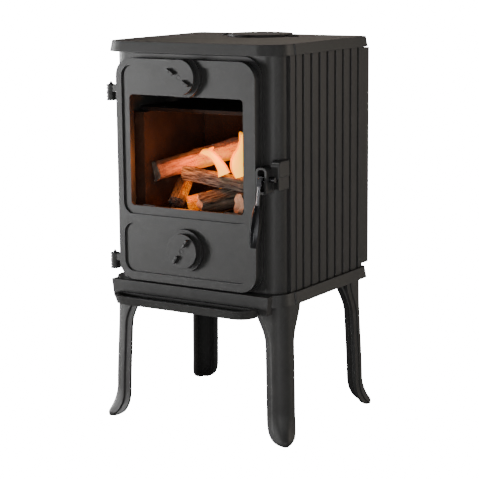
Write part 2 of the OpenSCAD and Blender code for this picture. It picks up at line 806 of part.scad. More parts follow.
module latch_housing() {
  color(iron) difference() {
    union() {
      upright(latch_w, latch_h, 8, housing_y, pivot_y + 13, latch_x, pivot_z - latch_h / 2 - 3);
      block([door_right, door_face + 2, pivot_z - 20], [latch_x, door_back - 3, pivot_z + 15]);
    }
    // slot that the lever swings in, open below and behind
    upright(12.8, latch_h + 11.8, 2.5, housing_y - 5, pivot_y + 30, latch_x, pivot_z - latch_h / 2 - 18);
    bar_x(3.5, latch_x - 30, latch_x, pivot_y, pivot_z);
    bar_x(shaft_r + pin_play, latch_x, latch_x + 30, pivot_y, pivot_z);
  }
}

module handle_pivot() {
  color(steel) bar_x(3.5, latch_x - latch_w / 2, latch_x + 8, pivot_y, pivot_z);
}

// Puts children on the hanging handle's own line: origin at the pivot, -Z down the handle.
module on_handle() {
  translate([latch_x, pivot_y - 14, pivot_z + 4]) rotate([-handle_lean, 0, 0]) children();
}

shank_l = 50;
module handle_lever() {
  color(steel) difference() {
    union() {
      bar_x(8, latch_x - 6, latch_x + 6, pivot_y, pivot_z);
      block([latch_x - 5, pivot_y - 14, pivot_z - 1], [latch_x + 5, pivot_y, pivot_z + 6]);
      on_handle() {
        translate([-4.6, -3.2, -16]) cube([9.2, 6.4, 15]);
        translate([0, 0, -shank_l]) cylinder(r = 3.2, h = shank_l);
        translate([0, 0, -shank_l - grip_l + 6]) cylinder(r = 3.2, h = grip_l);
      }
      // shaft through the housing, with the finger that bears up under the keeper's pin
      bar_x(shaft_r, latch_x, keeper_x + 3.7, pivot_y, pivot_z);
      block([keeper_x - 3.7, pivot_y, pivot_z - shaft_r + 0.2], [keeper_x + 3.7, keeper_y + 1, pivot_z + 1.6]);
    }
    bar_x(3.5 + pin_play, latch_x - 30, latch_x + 9, pivot_y, pivot_z);
  }
}

module handle_grip() {
  color("#2b2b2d") on_handle() translate([0, 0, -shank_l - grip_l]) difference() {
    rotate_extrude() polygon(concat([[0, 0]],
      [for (i = [0:8]) let (u = i / 8) [grip_r * (0.72 + 0.28 * sin(180 * pow(u, 0.8))), grip_l * u]],
      [[0, grip_l]]));
    translate([0, 0, 6]) cylinder(r = 3.3, h = grip_l);
  }
}

// An air dial: a disc with two fins on one diameter and two air channels in its back.
module dial(z, turn) {
  y0 = door_face - 5 - dial_play;
  color(iron) translate([door_x, y0, door_z + z]) rotate([90, 0, 0]) rotate([0, 0, turn]) difference() {
    union() {
      translate([0, 0, 0]) cylinder(r = dial_r, h = dial_t);
      for (s = [-1, 1]) for (step = [0, 1])
        translate([s > 0 ? 11.5 : -27.5, -2.2, dial_t - 1]) translate([step * 8.4, 0, 0]) cube([7.6, 4.4, 8]);
      for (s = [-1, 1]) translate([s > 0 ? 11.5 : -27.5, -2.2, dial_t - 1]) cube([16, 4.4, 6]);
    }
    translate([0, 0, -1]) cylinder(r = stud_r + pin_play, h = dial_t + 5);
    for (s = [0, 180]) rotate([0, 0, s]) translate([12, -7, -1]) cube([30, 14, 5]);
  }
}

module upper_dial() {
  dial(high_dial_z, 148);
}

module lower_dial() {
  dial(low_dial_z, 56);
}

module dial_bolts() {
  color(steel) for (z = [low_dial_z, high_dial_z]) {
    bar_y(stud_r, door_face - 5 - dial_play - dial_t, skin_y + 8, door_x, door_z + z);
  }
}

module dial_nuts() {
  color(steel) for (z = [low_dial_z, high_dial_z])
    translate([door_x, skin_y + 6, door_z + z]) rotate([90, 0, 0]) difference() {
      cylinder(r = 6.5, h = 6, $fn = 6);
      translate([0, 0, -1]) cylinder(r = stud_r, h = 9);
    }
}

// A log from one end to the other, as a bar of a few flats.
module log(a, b, r, sides = 7, squash = 1) {
  d = b - a;
  translate(a) rotate([0, acos(d[2] / norm(d)), atan2(d[1], d[0])])
    rotate([0, 0, 20]) cylinder(r = r, h = norm(d), $fn = sides);
}

module log_rear() {
  color("#b5714a") log([-134, -26, fire_z + 52], [100, 0, fire_z + 118], 19, 6);
}

module log_bark() {
  color("#7d6a59") log([-74, -70, fire_z + 54.6], [72, -76, fire_z + 53], 15, 9);
}

module log_leaning() {
  color("#5a4a3e") log([-96, -92, fire_z + 13.5], [-58, -22, fire_z + 41], 15, 8);
}

module log_split() {
  color("#a98a70") log([-24, -112, fire_z + 16.3], [56, -38, fire_z + 23.3], 19, 6);
}

module log_round() {
  color("#a98a70") log([76, -117, fire_z + 20], [124, -40, fire_z + 20], 20, 10);
}

module log_ember() {
  color("#e0702a") log([-40, -50, fire_z + 14.4], [50, 62, fire_z + 14.4], 15, 7);
}

top_plate();
flue_cover();
flue_cover_screws();
front_casting();
side_panel_left();
side_panel_right();
back_panel();
heat_shield();
heat_shield_screws();
flue_collar();
flue_collar_bolts();
base_plate();
tie_rods();
tie_rod_nuts();
ash_lip();
ash_lip_bolts();
leg_front_left();
leg_front_right();
leg_rear_left();
leg_rear_right();
leg_bolts();
firebrick_left();
firebrick_right();
firebrick_rear();
baffle_plate();
grate_shelf();
grate();
log_guard();
ash_pan();
ash_pan_handle();
hinge_brackets();
hinge_pins();
latch_keeper();
keeper_pin();
door_casting();
door_glass();
glass_gasket();
glass_clips();
glass_screws();
door_rope();
airwash_plate();
latch_housing();
handle_pivot();
handle_lever();
handle_grip();
upper_dial();
lower_dial();
dial_bolts();
dial_nuts();
log_rear();
log_bark();
log_leaning();
log_split();
log_round();
log_ember();
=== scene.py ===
import json
import math

import bmesh
import bpy
from mathutils import Matrix, Vector, noise

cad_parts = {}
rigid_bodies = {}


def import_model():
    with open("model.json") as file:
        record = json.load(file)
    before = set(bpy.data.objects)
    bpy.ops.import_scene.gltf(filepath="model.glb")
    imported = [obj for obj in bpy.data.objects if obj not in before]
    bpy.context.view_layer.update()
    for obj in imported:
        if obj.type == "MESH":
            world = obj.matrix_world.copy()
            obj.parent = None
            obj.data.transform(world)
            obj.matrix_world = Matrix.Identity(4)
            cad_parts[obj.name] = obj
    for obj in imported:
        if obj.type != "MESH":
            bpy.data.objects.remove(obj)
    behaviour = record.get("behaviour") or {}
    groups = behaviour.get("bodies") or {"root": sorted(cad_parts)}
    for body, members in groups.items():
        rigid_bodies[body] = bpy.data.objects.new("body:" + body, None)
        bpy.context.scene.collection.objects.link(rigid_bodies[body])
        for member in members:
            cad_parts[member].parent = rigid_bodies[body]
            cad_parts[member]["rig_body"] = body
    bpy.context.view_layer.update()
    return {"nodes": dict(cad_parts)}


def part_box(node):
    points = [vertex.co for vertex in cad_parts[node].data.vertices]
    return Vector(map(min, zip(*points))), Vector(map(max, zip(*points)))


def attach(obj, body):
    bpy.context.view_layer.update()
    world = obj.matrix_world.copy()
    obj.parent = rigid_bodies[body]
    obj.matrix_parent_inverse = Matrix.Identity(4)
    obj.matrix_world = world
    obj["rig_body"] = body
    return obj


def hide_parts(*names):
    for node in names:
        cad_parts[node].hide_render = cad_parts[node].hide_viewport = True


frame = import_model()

# ---------------------------------------------------------------- camera
# A long lens, a little above the stove and to its right, as a catalogue view is taken. Its
# place and turn are in metres and radians in the stove's own frame.
camera_data = bpy.data.cameras.new("camera")
camera_data.sensor_width = 36.0
camera_data.lens = 116.0
camera_data.clip_end = 100.0
camera = bpy.data.objects.new("camera", camera_data)
bpy.context.scene.collection.objects.link(camera)
camera_place = (1.5923, -2.5205, 0.9059)
azimuth, pitch, roll = 0.5627, 0.1854, 0.0096  # radians
ahead = Vector((-math.sin(azimuth) * math.cos(pitch), math.cos(azimuth) * math.cos(pitch),
                -math.sin(pitch)))
level = Vector((math.cos(azimuth), math.sin(azimuth), 0.0))
below = ahead.cross(level)
right = math.cos(roll) * level + math.sin(roll) * below
down = -math.sin(roll) * level + math.cos(roll) * below
facing = Matrix((right, -down, -ahead)).transposed().to_4x4()
camera.matrix_world = Matrix.Translation(camera_place) @ facing
bpy.context.scene.camera = camera


# ---------------------------------------------------------------- studio
# A pale floor that runs into a white room, with large soft lights. The floor and the room are
# brighter to the eye than to the stove, as behind a product lit on a white sweep.
def linear(code, alpha=1.0):
    """An sRGB hex colour as linear red, green, blue and alpha."""
    parts = [int(code[i:i + 2], 16) / 255 for i in (1, 3, 5)]
    return [c / 12.92 if c <= 0.04045 else ((c + 0.055) / 1.055) ** 2.4 for c in parts] + [alpha]


def add(tree, kind, props=None, values=None, links=None):
    """Adds a shader node with its settings, values and links."""
    made = tree.nodes.new("ShaderNode" + kind)
    for name, value in (props or {}).items():
        setattr(made, name, value)
    for name, value in (values or {}).items():
        made.inputs[name].default_value = value
    for name, source in (links or {}).items():
        tree.links.new(source, made.inputs[name])
    return made


def new_material(name):
    """A material with its Principled shader, and its node tree."""
    material = bpy.data.materials.new(name)
    material.use_nodes = True
    return material, material.node_tree, material.node_tree.nodes["Principled BSDF"]


room_on_stove, room_to_eye, floor_to_eye = 0.055, 24.0, 18.0  # strengths of the glow
floor_half = 20
world = bpy.data.worlds.new("white_room")
bpy.context.scene.world = world
world.use_nodes = True
room = world.node_tree
room_light = room.nodes["Background"]
room_light.inputs["Color"].default_value = linear("#ffffff")
room_light.inputs["Strength"].default_value = room_on_stove
room_seen = add(room, "Background", values={"Color": linear("#ffffff"), "Strength": room_to_eye})
seen = add(room, "LightPath")
room_mix = add(room, "MixShader",
               links={0: seen.outputs["Is Camera Ray"], 1: room_light.outputs[0],
                      2: room_seen.outputs[0]})
room.links.new(room_mix.outputs[0], room.nodes["World Output"].inputs["Surface"])

bm = bmesh.new()
bmesh.ops.create_grid(bm, x_segments=1, y_segments=1, size=floor_half)
floor_mesh = bpy.data.meshes.new("floor")
bm.to_mesh(floor_mesh)
bm.free()
floor = bpy.data.objects.new("floor", floor_mesh)
bpy.context.scene.collection.objects.link(floor)
# Matt white paint on a studio sweep: even and without gloss, and glowing to the eye alone.
floor_paint, tree, shader = new_material("pale_floor")
shader.inputs["Base Color"].default_value = linear("#dededc")
shader.inputs["Roughness"].default_value = 0.7
glow = add(tree, "Emission", values={"Color": linear("#ffffff"), "Strength": floor_to_eye})
no_glow = add(tree, "Emission", values={"Color": linear("#ffffff"), "Strength": 0.0})
seen = add(tree, "LightPath")
bright = add(tree, "MixShader",
             links={0: seen.outputs["Is Camera Ray"], 1: no_glow.outputs[0], 2: glow.outputs[0]})
both = add(tree, "AddShader", links={0: shader.outputs[0], 1: bright.outputs[0]})
tree.links.new(both.outputs[0], tree.nodes["Material Output"].inputs["Surface"])
floor_mesh.materials.append(floor_paint)


def softbox(name, place, aim, width, height, power, colour="#ffffff"):
    """A large soft light at a place, turned to a point."""
    lamp = bpy.data.lights.new(name, "AREA")
    lamp.shape = "RECTANGLE"
    lamp.size, lamp.size_y = width, height
    lamp.energy = power
    lamp.color = linear(colour)[:3]
    held = bpy.data.objects.new(name, lamp)
    held.location = place
    held.rotation_mode = "QUATERNION"
    held.rotation_quaternion = (Vector(aim) - Vector(place)).to_track_quat("-Z", "Y")
    bpy.context.scene.collection.objects.link(held)


# The key light and a narrow one on the left draw the edges; the others fill the front and side.
softbox("key_softbox", (-2.55, -2.35, 0.40), (0.0, 0.0, 0.3), 0.9, 0.8, 70.0)
softbox("front_softbox", (1.7, -3.2, 0.55), (0.0, 0.0, 0.3), 1.0, 1.0, 26.0)
softbox("left_softbox", (-2.8, -0.1, 0.55), (0.0, 0.0, 0.4), 0.4, 1.0, 52.0)
softbox("top_softbox", (-0.8, 2.2, 2.2), (0.0, 0.0, 0.7), 1.8, 0.7, 9.5, "#fff0e0")
softbox("side_softbox", (3.0, -1.4, 0.8), (0.0, 0.0, 0.4), 0.5, 1.4, 11.0)
softbox("right_softbox", (2.4, 1.9, 0.9), (0.0, 0.0, 0.5), 0.6, 1.4, 17.0, "#fff4e6")


# ---------------------------------------------------------------- top and base castings
# Grey iron poured in sand, painted with matt stove paint: a fine grain and slightly soft
# corners. The two plates clamp the walls between them.
def stove_paint(name, colour, dark, grain=0.0011, rough=0.56):
    """Cast iron under matt stove paint: grain from the sand, cloudy tone from the spray. The
    grain is drawn coarser than the sand's, so that it shows."""
    cloud_size, wave_size = 0.045, 0.018
    material, tree, shader = new_material(name)
    place = add(tree, "TexCoord").outputs["Object"]
    cloud = add(tree, "TexNoise", values={"Scale": 1 / cloud_size, "Detail": 3.0},
                links={"Vector": place})
    sand = add(tree, "TexNoise", values={"Scale": 1 / grain, "Detail": 4.0, "Roughness": 0.65},
               links={"Vector": place})
    wave = add(tree, "TexNoise", values={"Scale": 1 / wave_size, "Detail": 2.0},
               links={"Vector": place})
    tone = add(tree, "ValToRGB", links={"Fac": cloud.outputs["Fac"]})
    ends = tone.color_ramp.elements
    ends[0].position, ends[1].position = 0.3, 0.72
    ends[0].color, ends[1].color = linear(dark), linear(colour)
    speck = add(tree, "MapRange",
                values={"From Min": 0.3, "From Max": 0.7, "To Min": 0.88, "To Max": 1.1},
                links={"Value": sand.outputs["Fac"]})
    paint = add(tree, "MixRGB", props={"blend_type": "MULTIPLY"}, values={"Fac": 1.0},
                links={"Color1": tone.outputs["Color"], "Color2": speck.outputs["Result"]})
    tree.links.new(paint.outputs["Color"], shader.inputs["Base Color"])
    dull = add(tree, "MapRange", values={"To Min": rough - 0.06, "To Max": rough + 0.08},
               links={"Value": cloud.outputs["Fac"]})
    tree.links.new(dull.outputs["Result"], shader.inputs["Roughness"])
    skin = add(tree, "Bump", values={"Strength": 0.35, "Distance": 0.0003},
               links={"Height": wave.outputs["Fac"]})
    bumps = add(tree, "Bump", values={"Strength": 0.32, "Distance": 0.00035},
                links={"Height": sand.outputs["Fac"], "Normal": skin.outputs["Normal"]})
    tree.links.new(bumps.outputs["Normal"], shader.inputs["Normal"])
    shader.inputs["Specular IOR Level"].default_value = 0.5
    return material


# Charcoal stove paint: nearly black, with a dull sheen that shows the grain of the sand.
castings_paint = stove_paint("stove_paint", "#393938", "#323232", rough=0.46)


def body_of(name):
    """The CAD body that a node belongs to."""
    return frame["nodes"][name]["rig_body"]


def finish_piece(bm, name, material, body, replaced=(), smooth_angle=38):
    """Makes a finished mesh a shown piece that rides on its body."""
    mesh = bpy.data.meshes.new(name)
    bm.to_mesh(mesh)
    bm.free()
    piece = bpy.data.objects.new(name, mesh)
    bpy.context.scene.collection.objects.link(piece)
    for finish in material if isinstance(material, (list, tuple)) else [material]:
        mesh.materials.append(finish)
    mesh.shade_smooth()
    mesh.set_sharp_from_angle(angle=math.radians(smooth_angle))
    flat_faces = piece.modifiers.new("flat_faces", "WEIGHTED_NORMAL")
    flat_faces.keep_sharp = True
    flat_faces.weight = 100
    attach(piece, body)
    if replaced:
        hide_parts(*replaced)


def from_node(name):
    """A merged copy of a node's mesh, with its flat faces joined up."""
    bm = bmesh.new()
    bm.from_mesh(frame["nodes"][name].data)
    bmesh.ops.remove_doubles(bm, verts=bm.verts, dist=0.00001)
    bmesh.ops.dissolve_limit(bm, angle_limit=math.radians(0.6), verts=bm.verts, edges=bm.edges)
    return bm


def soften(bm, width, angle=32, segments=2):
    """Rounds the edges that are sharper than an angle."""
    sharp = [e for e in bm.edges
             if e.is_manifold and e.calc_face_angle(0) > math.radians(angle)]
    bmesh.ops.bevel(bm, geom=sharp, offset=width, offset_type="OFFSET", affect="EDGES",
                    segments=segments, profile=0.5, material=-1, clamp_overlap=True)


def casting(name, material, width=0.0012, segments=2):
    """A CAD node with softened edges, shown in its place."""
    bm = from_node(name)
    if width:
        soften(bm, width, segments=segments)
    finish_piece(bm, name + "_cast", material, body_of(name), [name])


casting("top_plate", castings_paint, 0.0016)
casting("base_plate", castings_paint, 0.0016)

# ---------------------------------------------------------------- flue cover
# A round cast blank over the top flue hole, painted like the plate, with two ears and a
# slotted steel screw in each.
casting("flue_cover", castings_paint, 0.0012)


def turned_steel(name, colour, rough, scratch=0.0006):
    """Steel as it comes from the lathe: fine marks and a dull oxide. The marks are drawn
    coarser than real ones, so that they show."""
    oxide_size = 0.009
    material, tree, shader = new_material(name)
    place = add(tree, "TexCoord").outputs["Object"]
    marks = add(tree, "TexNoise", values={"Scale": 1 / scratch, "Detail": 3.0},
                links={"Vector": place})
    oxide = add(tree, "TexNoise", values={"Scale": 1 / oxide_size, "Detail": 4.0},
                links={"Vector": place})
    tone = add(tree, "ValToRGB", links={"Fac": oxide.outputs["Fac"]})
    base = linear(colour)
    tone.color_ramp.elements[0].color = [c * 0.6 for c in base[:3]] + [1.0]
    tone.color_ramp.elements[1].color = base
    tree.links.new(tone.outputs["Color"], shader.inputs["Base Color"])
    dull = add(tree, "MapRange", values={"To Min": rough - 0.08, "To Max": rough + 0.1},
               links={"Value": marks.outputs["Fac"]})
    tree.links.new(dull.outputs["Result"], shader.inputs["Roughness"])
    bumps = add(tree, "Bump", values={"Strength": 0.25, "Distance": 0.0002},
                links={"Height": marks.outputs["Fac"]})
    tree.links.new(bumps.outputs["Normal"], shader.inputs["Normal"])
    shader.inputs["Metallic"].default_value = 1.0
    return material


# Steel blackened in oil: dark, half dull, a little brighter than the castings.
screw_steel = turned_steel("blackened_steel", "#6a6a6c", 0.42)
casting("flue_cover_screws", screw_steel, 0.0003)

# ---------------------------------------------------------------- walls of the body
# The front casting has round corners and a raised land that the door shuts on. The side
# castings are fluted from top to bottom, with a smooth bead in front.
casting("front_casting", castings_paint, 0.0012)
for side in ("side_panel_left", "side_panel_right"):
    casting(side, castings_paint, 0.0011)
casting("back_panel", castings_paint, 0.0008)
# The same paint on pressed steel sheet: smoother, with a finer grain.
sheet_paint = stove_paint("painted_sheet", "#3a3a39", "#333332", grain=0.0008, rough=0.5)
casting("heat_shield", sheet_paint, 0.0005, segments=1)
casting("heat_shield_screws", screw_steel, 0.0003)
casting("flue_collar", castings_paint, 0.001)
casting("flue_collar_bolts", screw_steel, 0.0003)

# ---------------------------------------------------------------- ash lip
# A cast iron tray in front of the base plate, for ash that falls when the door is open. Two
# bolts hold it from behind the apron.
casting("ash_lip", castings_paint, 0.0011)

# ---------------------------------------------------------------- legs
# Hollow cast legs: two faces that meet in a round corner, each with a flat rim down its free
# edge. They widen into the base plate, lean in, and turn out again into a toe. Bolted on.
bolt_below_top = 0.0105
leg_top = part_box("leg_bolts")[0][2] + bolt_below_top
leg_wall, rim_w, rim_step, rim_blend = 0.0055, 0.012, 0.0026, 0.0009
toe_z, toe_tip_z, toe_out, toe_curl, lean_out = 0.060, 0.009, 0.0088, 2.2, 0.0055
corner_r, face_w, face_flare = 0.0235, 0.0390, 0.024
corner_x, corner_front, corner_rear = 0.1906, -0.1505, 0.1585
bolt_in_x, bolt_in_y = 0.037, 0.035
flange_w, flange_thick, flange_drop, flange_edge_r = 0.06, 0.005, 0.003, 0.001
leg_rows, row_crowding = 44, 1.35


def ease(low, high, value):
    """A smooth step from 0 to 1."""
    t = min(1.0, max(0.0, (value - low) / (high - low)))
    return t * t * (3 - 2 * t)


def leg_surface(column, z):
    """The outer face of a leg: column runs from one free edge (0) over the corner to the other."""
    foot = min(1.0, max(0.0, (toe_z - z) / (toe_z - toe_tip_z)))
    out = lean_out * (1 - ease(0.15, 0.95, z / leg_top)) + toe_out * foot ** toe_curl
    wide = face_w + face_flare * ease(0.7, 1.0, z / leg_top) ** 1.3
    if z < toe_z:
        rounded = math.sqrt(max(0.0, 1 - (1 - z / toe_z) ** 2.6))
        wide = (face_w + out - lean_out) * (0.16 + 0.84 * rounded)
    r = min(corner_r * (1 - 0.72 * foot ** 1.5), wide * 0.75)
    arc = r * math.pi / 2
    half = wide - r + arc / 2
    step = min(column, last_column - column)
    shrink = min(1.0, half * 0.55 / rim_columns[-1])
    if step < len(rim_columns):
        inset = rim_columns[step] * shrink
    else:
        start = rim_columns[-1] * shrink
        inset = start + (half - start) * face_columns[step - len(rim_columns)]
    along = half - inset
    beyond = max(0.0, along - arc / 2)
    turn = min(1.0, along / (arc / 2)) * math.pi / 4
    raised = rim_step * shrink * ease(rim_w - rim_blend, rim_w + rim_blend, inset / shrink)
    normal_a, normal_b = -math.sin(math.pi / 4 - turn), -math.cos(math.pi / 4 - turn)
    a = -out + r + r * normal_a + beyond + normal_a * raised
    b = -out + r + r * normal_b + normal_b * raised
    return (a, b) if column * 2 > last_column else (b, a)


# Painted shade: leg insides coloured near black and dull, standing for the shade under the stove.
leg_painted_shade = stove_paint("painted_shade_in_legs", "#151414", "#0e0d0d", grain=0.0015, rough=0.75)
rim_columns = (0.0, 0.004, 0.008, 0.0108, 0.0117, 0.0123, 0.0132, 0.0150)
face_columns = (0.2, 0.4, 0.6, 0.8, 1.0)
last_column = 2 * (len(rim_columns) + len(face_columns) - 1)
levels = [leg_top * (i / leg_rows) ** row_crowding for i in range(leg_rows + 1)]
for side, end, leg in ((-1, -1, "leg_front_left"), (1, -1, "leg_front_right"),
                       (-1, 1, "leg_rear_left"), (1, 1, "leg_rear_right")):
    bm = bmesh.new()
    bmesh.ops.create_grid(bm, x_segments=last_column, y_segments=leg_rows, size=1)
    for vert in bm.verts:
        column = round((vert.co.x + 1) / 2 * last_column)
        z = levels[round((vert.co.y + 1) / 2 * leg_rows)]
        a, b = leg_surface(column, z)
        vert.co = (side * (corner_x - a), (corner_front + b) if end < 0 else (corner_rear - b), z)
    bmesh.ops.recalc_face_normals(bm, faces=bm.faces)
    highest = max(bm.faces, key=lambda f: f.calc_center_median().z)
    if highest.normal.dot(Vector((side, end, 0))) < 0:
        bmesh.ops.reverse_faces(bm, faces=bm.faces)
    bmesh.ops.solidify(bm, geom=bm.faces, thickness=leg_wall)
    for vert in bm.verts:
        vert.co.z = min(leg_top, max(0.0, vert.co.z))
    bm.normal_update()
    # Inward faces below the top take the painted shade of the leg insides (slot 1).
    for face in bm.faces:
        centre = face.calc_center_median()
        inward = Vector((-side, -end, 0))
        if face.normal.dot(inward) > 0.35 and centre.z < leg_top - 0.001:
            face.material_index = 1
    bmesh.ops.recalc_face_normals(bm, faces=bm.faces)
    bolt_y = corner_front + bolt_in_y if end < 0 else corner_rear - bolt_in_y
    bolt = Vector((side * (corner_x - bolt_in_x), bolt_y, leg_top - flange_drop))
    flange_size = Matrix.Diagonal((flange_w, flange_w, flange_thick, 1))
    flange = bmesh.ops.create_cube(bm, size=1, matrix=Matrix.Translation(bolt) @ flange_size)
    flange_edges = [e for e in bm.edges if all(v in flange["verts"] for v in e.verts)]
    bmesh.ops.bevel(bm, geom=flange_edges, offset=flange_edge_r, offset_type="OFFSET",
                    affect="EDGES", segments=2, profile=0.5, material=-1)
    finish_piece(bm, leg + "_cast", [castings_paint, leg_painted_shade], body_of(leg), [leg], 40)

# ---------------------------------------------------------------- firebox
# Bricks of pressed vermiculite on three sides, a cast grate and shelf, and a baffle over them,
# all browned by smoke. The bricks show coarse flakes under brown soot, quite dull.
flake_size, smoke_size = 0.004, 0.07
brick_face, tree, shader = new_material("vermiculite_brick")
place = add(tree, "TexCoord").outputs["Object"]
flakes = add(tree, "TexVoronoi", values={"Scale": 1 / flake_size}, links={"Vector": place})
smoke = add(tree, "TexNoise", values={"Scale": 1 / smoke_size, "Detail": 4.0},
            links={"Vector": place})
soot = add(tree, "ValToRGB", links={"Fac": smoke.outputs["Fac"]})
ends = soot.color_ramp.elements
ends[0].position, ends[1].position = 0.25, 0.75
ends[0].color, ends[1].color = linear("#1c130c"), linear("#4a3322")
fleck = add(tree, "MapRange", values={"From Max": 0.6, "To Min": 0.82, "To Max": 1.08},
            links={"Value": flakes.outputs["Distance"]})
mixed = add(tree, "MixRGB", props={"blend_type": "MULTIPLY"}, values={"Fac": 1.0},
            links={"Color1": soot.outputs["Color"], "Color2": fleck.outputs["Result"]})
tree.links.new(mixed.outputs["Color"], shader.inputs["Base Color"])
pits = add(tree, "Bump", values={"Strength": 0.5, "Distance": 0.0008},
           links={"Height": flakes.outputs["Distance"]})
tree.links.new(pits.outputs["Normal"], shader.inputs["Normal"])
shader.inputs["Roughness"].default_value = 0.92
for brick in ("firebrick_left", "firebrick_right", "firebrick_rear"):
    casting(brick, brick_face, 0.002)
# Iron blackened by soot: almost no sheen.
sooty_iron = stove_paint("sooty_iron", "#161311", "#0f0d0c", grain=0.0015, rough=0.85)
for plate in ("baffle_plate", "grate_shelf", "grate", "log_guard"):
    casting(plate, sooty_iron, 0.001, segments=1)
for pan in ("ash_pan", "ash_pan_handle"):
    casting(pan, sheet_paint, 0.0004, segments=1)
for rod in ("tie_rods", "tie_rod_nuts", "leg_bolts", "ash_lip_bolts"):
    casting(rod, screw_steel, 0.0004, segments=1)

# ---------------------------------------------------------------- hinges and keeper
# Cast arms carry a fixed pin at each hinge. The keeper holds the cross pin that the
# handle's finger bears under.
for part in ("hinge_brackets", "hinge_pins", "latch_keeper", "keeper_pin"):
    casting(part, castings_paint, 0.0007)
# A domed cover cast over the keeper's cheeks, open below and towards the handle.
low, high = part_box("latch_keeper")
bm = bmesh.new()
cover_over, cover_tall, cover_above = 0.003, 0.031, 0.0025
crown_r, cover_side_r, cover_wall = 0.010, 0.003, 0.0012
size = Vector((high[0] - low[0] + cover_over, high[1] - low[1] + cover_over, cover_tall))
centre = Vector(((low[0] + high[0]) / 2, (low[1] + high[1]) / 2,
                 high[2] + cover_above - cover_tall / 2))
bmesh.ops.create_cube(bm, size=1, matrix=Matrix.Translation(centre) @ Matrix.Diagonal((*size, 1)))
crown = [e for e in bm.edges if all(v.co.z > centre.z and v.co.y < centre.y for v in e.verts)]
bmesh.ops.bevel(bm, geom=crown, offset=crown_r, offset_type="OFFSET", affect="EDGES", segments=7,
                profile=0.5, material=-1)
side_edges = [e for e in bm.edges if all(v.co.x > centre.x for v in e.verts)
              and e.calc_face_angle(0) > 0.6]
bmesh.ops.bevel(bm, geom=side_edges, offset=cover_side_r, offset_type="OFFSET", affect="EDGES",
                segments=4, profile=0.5, material=-1)
open_sides = [f for f in bm.faces if f.normal.z < -0.9 or f.normal.x < -0.9]
bmesh.ops.delete(bm, geom=open_sides, context="FACES")
bmesh.ops.solidify(bm, geom=bm.faces, thickness=cover_wall)
bmesh.ops.recalc_face_normals(bm, faces=bm.faces)
finish_piece(bm, "latch_keeper_cover", castings_paint, "stove", smooth_angle=35)

# ---------------------------------------------------------------- door
# One casting with a raised border, a window, a crossbar and two round seats for the air
# dials, hung on two lugs.
casting("door_casting", castings_paint, 0.0018, segments=3)
casting("airwash_plate", sooty_iron, 0.0004, segments=1)
casting("dial_bolts", castings_paint, 0.0006)
for part in ("glass_clips", "glass_screws", "dial_nuts", "handle_pivot"):
    casting(part, screw_steel, 0.0003, segments=1)

# Heat proof glass ceramic: clear and glossy, with a faint, uneven haze of smoke.
haze_size = 0.05
glass, tree, shader = new_material("glass_ceramic")
shader.inputs["Base Color"].default_value = linear("#1c1612")
shader.inputs["Roughness"].default_value = 0.04
shader.inputs["IOR"].default_value = 1.5
place = add(tree, "TexCoord").outputs["Object"]
haze = add(tree, "TexNoise", values={"Scale": 1 / haze_size, "Detail": 5.0},
           links={"Vector": place})
veil = add(tree, "MapRange",
           values={"From Min": 0.35, "From Max": 0.8, "To Min": 0.004, "To Max": 0.02},
           links={"Value": haze.outputs["Fac"]})
tree.links.new(veil.outputs["Result"], shader.inputs["Alpha"])
casting("door_glass", glass, 0.0)

# Glass fibre rope and tape: pale, without shine, with the turns of its strands.
strand_pitch = 0.012
rope, tree, shader = new_material("glass_fibre_rope")
place = add(tree, "TexCoord").outputs["Object"]
strands = add(tree, "TexWave", values={"Scale": 1 / strand_pitch, "Distortion": 1.0},
              links={"Vector": place})
tone = add(tree, "ValToRGB", links={"Fac": strands.outputs["Fac"]})
ends = tone.color_ramp.elements
ends[0].color, ends[1].color = linear("#5a564c"), linear("#a29c8c")
tree.links.new(tone.outputs["Color"], shader.inputs["Base Color"])
weave = add(tree, "Bump", values={"Strength": 0.6, "Distance": 0.0006},
            links={"Height": strands.outputs["Fac"]})
tree.links.new(weave.outputs["Normal"], shader.inputs["Normal"])
shader.inputs["Roughness"].default_value = 0.95
for seal in ("glass_gasket", "door_rope"):
    casting(seal, rope, 0.0)

# ---------------------------------------------------------------- air dials
# Round cast slides that turn on a bolt over the air holes, each with two stepped fins to turn
# it by. Painted like the door.
for dial in ("upper_dial", "lower_dial"):
    casting(dial, castings_paint, 0.0008)

# ---------------------------------------------------------------- latch and handle
# A cast housing on the door's edge, its slot open in front, with a steel lever on a pin and a
# black polished grip pressed on the lever's rod.
low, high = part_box("latch_housing")
housing_wide, housing_above, cheek, slot_deep = 0.023, 0.001, 0.0042, 0.021
arch_r, foot_r = 0.0092, 0.004
face_left = high[0] - housing_wide
bm = bmesh.new()
size = Vector((housing_wide, high[1] - low[1], high[2] + housing_above - low[2]))
centre = Vector(((face_left + high[0]) / 2, (low[1] + high[1]) / 2,
                 (low[2] + high[2] + housing_above) / 2))
bmesh.ops.create_cube(bm, size=1, matrix=Matrix.Translation(centre) @ Matrix.Diagonal((*size, 1)))
running_back = [e for e in bm.edges if abs(e.verts[0].co.y - e.verts[1].co.y) > 0.01]
tops = [e for e in running_back if e.verts[0].co.z > centre.z]
lows = [e for e in running_back if e.verts[0].co.z < centre.z]
bmesh.ops.bevel(bm, geom=tops, offset=arch_r, offset_type="OFFSET", affect="EDGES", segments=8,
                profile=0.5, material=-1)
bmesh.ops.bevel(bm, geom=[e for e in lows if e.is_valid], offset=foot_r, offset_type="OFFSET",
                affect="EDGES", segments=4, profile=0.5, material=-1)
front = min(bm.faces, key=lambda f: f.calc_center_median().y)
bmesh.ops.inset_region(bm, faces=[front], thickness=cheek, use_even_offset=True, depth=0.0)
pushed = bmesh.ops.extrude_face_region(bm, geom=[front])
bmesh.ops.translate(bm, verts=[v for v in pushed["geom"] if isinstance(v, bmesh.types.BMVert)],
                    vec=(0, slot_deep, 0))
bmesh.ops.delete(bm, geom=[front] if front.is_valid else [], context="FACES_ONLY")
